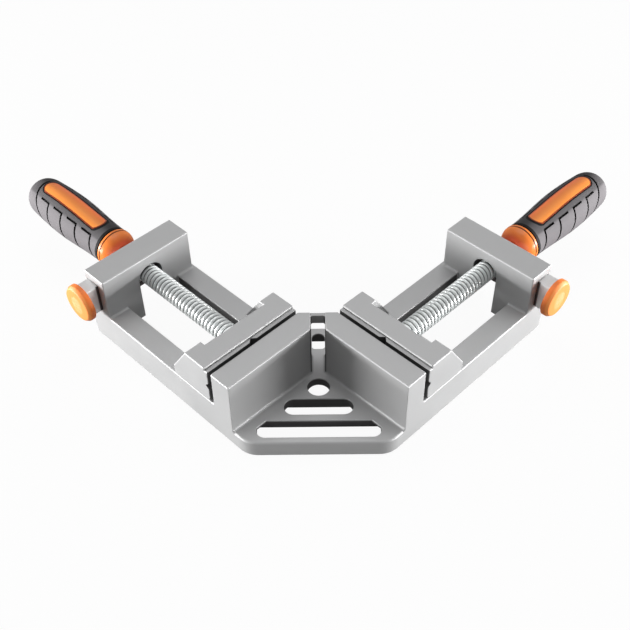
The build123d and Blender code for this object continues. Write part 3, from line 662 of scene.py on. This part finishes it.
# Quick release: thumb button. Orange plastic, pressed onto the slider's end outside the end
# block, with a low dome and a patch of fine ribs where the thumb bears.
button_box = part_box("release_button_right")
button_middle = (button_box[0][0] + button_box[1][0]) / 2
button_tip = button_box[0][1]
button_depth = 0.0060
button_steps = 144
dome_radius = 0.1
rib_pitch = 0.0013
rib_height = 0.00025
patch_radius = 0.0062
patch_fade = 0.0010
patch_stretch = 0.75
button_rim = ((0.01140, 0.00065), (0.01176, 0.00078), (0.01203, 0.00103), (0.01324, 0.00277),
              (0.01336, 0.00300), (0.01340, 0.00328), (0.01340, 0.00560), (0.01340, 0.00590),
              (0.01330, button_depth))
ribbed_radii = [0.0002 * step for step in range(1, 34)]
plain_radii = [0.0070 + 0.0010 * step for step in range(5)]
dome = [(radius, radius ** 2 / (2 * dome_radius)) for radius in ribbed_radii + plain_radii]


def between_ribs(aside, above):
    """Depth of the face below its dome, this far beside and above the button's middle."""
    out = math.hypot(aside, patch_stretch * above)
    inside = min(max((patch_radius - out) / patch_fade, 0), 1)
    return rib_height * inside * (0.5 - 0.5 * math.sin(2 * math.pi * above / rib_pitch))


button, tree, shader, tone = plastic_finish(
    "orange_button", (0.95, 0.23, 0.035), (0.92, 0.19, 0.03), 0.45, 0.35)
place = placed(tree, place_group)
rise = place.outputs["Rise"]
face_level = button_tip - screw_offset
# Painted light: the outward face is paler than the deeper-toned sides
outward = eased(tree, place.outputs["Across"], face_level + 0.0034, face_level + 0.0016)
cap = blended(tree, outward, tone, (0.94, 0.31, 0.075))
from_middle = calc(tree, "SUBTRACT", place.outputs["Along"], button_middle)
stretched = calc(tree, "POWER", calc(tree, "MULTIPLY", rise, patch_stretch), 2.0)
from_centre = calc(tree, "SQRT", calc(tree, "MULTIPLY_ADD", from_middle, from_middle, stretched))
ribbed = overlap(tree, eased(tree, from_centre, patch_radius, patch_radius - patch_fade), outward)
# Painted highlight on the crests of the ribs
wave = calc(tree, "SINE", calc(tree, "MULTIPLY", rise, 2 * math.pi / rib_pitch))
crests = overlap(tree, ribbed, calc(tree, "MULTIPLY_ADD", wave, 0.5, 0.5))
paler = calc(tree, "MULTIPLY", crests, 0.1)
tree.links.new(blended(tree, paler, cap, (0.97, 0.62, 0.34)), shader.inputs["Base Color"])
for arm in arms:
    bm = bmesh.new()
    rings = []
    for radius, depth in (*dome, *button_rim):
        ring = []
        for step in range(button_steps):
            turn = 2 * math.pi * step / button_steps
            aside, above = radius * math.sin(turn), radius * math.cos(turn)
            face = button_tip + depth + between_ribs(aside, above)
            ring.append(bm.verts.new(
                on_arm(arm, button_middle + aside, face, screw_height + above)))
        rings.append(ring)
    skinned(bm, rings)
    thumb = finished(bm, f"thumb_button_{arm}", button)
    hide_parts(f"release_button_{arm}")
    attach(thumb, f"release_{arm}")


# Quick release: slider. A ground steel bar across the end block with the half nut cut in it,
# held in its channel by the block and pushed outwards by the spring. Its front side carries a
# black painted shadow next to the block.
painted_shadow_colour = (0.060, 0.045, 0.045)
shadow_from = -0.0393
slider_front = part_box("release_slider_right")[0][0]
slider, tree, shader = cast_finish("ground_steel", 0.76, 0.92, 0.25, 0.36)
place = placed(tree, place_group)
# Painted shadow of the gap between the block and the button
painted_shadow = overlap(
    tree, eased(tree, place.outputs["Across"], shadow_from - 0.0005, shadow_from + 0.0005),
    eased(tree, place.outputs["Along"], slider_front + 0.0012, slider_front + 0.0006))
paint_over(tree, shader, painted_shadow, painted_shadow_colour)
for arm in arms:
    wear(f"release_slider_{arm}", slider)


# Quick release: spring. Black wire coiled between the slider's bore and the blind end of its
# channel.
black_oxide = cast_finish("black_oxide", 0.03, 0.08, 0.6, 0.45)[0]
spring_turns = 5
coil_radius = 0.0036
wire_radius = 0.0005
coil_steps = 28
wire_steps = 10
spring_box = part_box("release_spring_right")
spring_outer = spring_box[0][1]
spring_inner = spring_box[1][1]
spring_middle = (spring_box[0][0] + spring_box[1][0]) / 2
for arm in arms:
    bm = bmesh.new()
    rings = []
    for number in range(spring_turns * coil_steps + 1):
        share = number / (spring_turns * coil_steps)
        turn = 2 * math.pi * spring_turns * share
        centre = spring_inner - wire_radius + share * (spring_outer - spring_inner + 2 * wire_radius)
        ring = []
        for step in range(wire_steps):
            round_wire = 2 * math.pi * step / wire_steps
            out = coil_radius + wire_radius * math.cos(round_wire)
            ring.append(bm.verts.new(on_arm(
                arm, spring_middle + out * math.cos(turn),
                centre + wire_radius * math.sin(round_wire), screw_height + out * math.sin(turn))))
        rings.append(ring)
    skinned(bm, rings)
    coil = finished(bm, f"return_spring_{arm}", black_oxide)
    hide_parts(f"release_spring_{arm}")
    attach(coil, f"release_{arm}")
    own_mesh(coil)


# Jaw keepers. A zinc plated steel plate below the rails holds each moving jaw down. Two black
# low-headed socket screws fix it to the jaw from below.
plated = zinc_finish("plated_small_parts", 0.0)
for arm in arms:
    wear(f"jaw_keeper_{arm}", plated)
    wear(f"keeper_screws_{arm}", black_oxide)


# Retaining pins and thrust washers. Two plated steel pins in the jaw run in the groove of the
# screw's neck and hold it, and the screw's shoulder pushes the jaw through a plated washer.
for arm in arms:
    wear(f"retaining_pins_{arm}", plated)
    wear(f"thrust_washer_{arm}", plated)
